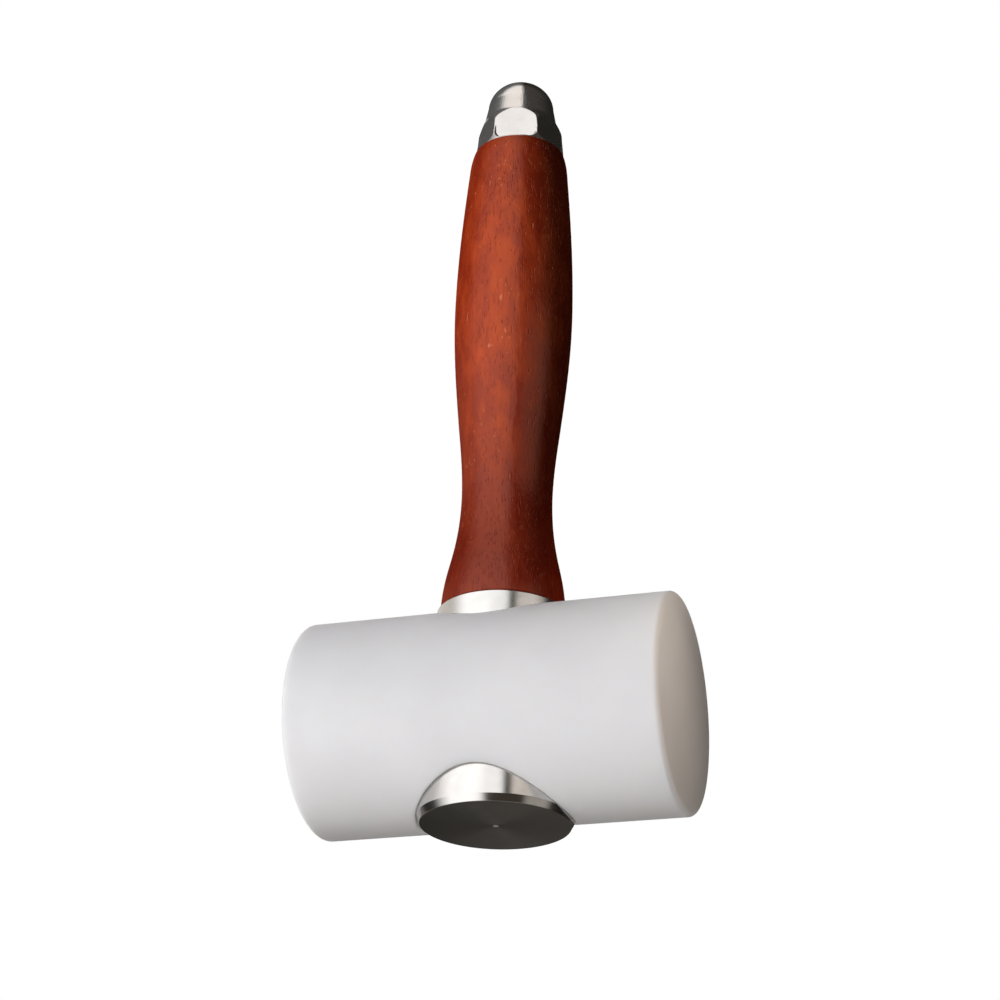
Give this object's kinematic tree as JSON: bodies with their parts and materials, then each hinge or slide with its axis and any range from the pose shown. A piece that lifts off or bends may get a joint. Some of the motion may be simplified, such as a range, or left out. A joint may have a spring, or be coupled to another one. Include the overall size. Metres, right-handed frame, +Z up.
{
  "type": "mallet",
  "caption": "Leathercraft mallet: a short round nylon head on a turned hardwood handle, clamped by a steel plug, collar and domed cap nut, for striking stamps and punches.",
  "frame": {"origin": "centre of the flat round face of the steel plug, which the mallet stands on", "axes": "+Z up the handle towards the cap nut, +X along the head towards one striking face"},
  "size_m": [0.086, 0.05, 0.1995],
  "materials": {
    "nylon": "satin, slightly milky",
    "hardwood": "oiled and waxed, satin, reddish brown with fine pores",
    "plug_steel": "turned, fine rings on the face",
    "collar_steel": "turned and polished",
    "nut_steel": "turned and polished, with milled flats",
    "rod_steel": "plain drawn bar",
    "spring_steel": "dark, hardened",
    "pin_steel": "ground"
  },
  "bodies": {
    "root": {"head_barrel": "nylon", "core_plug": "plug_steel", "collar": "collar_steel", "handle": "hardwood", "cap_nut": "nut_steel", "tie_rod": "rod_steel", "spring_washer": "spring_steel", "dowel_pins": "pin_steel"}
  },
  "joints": []
}
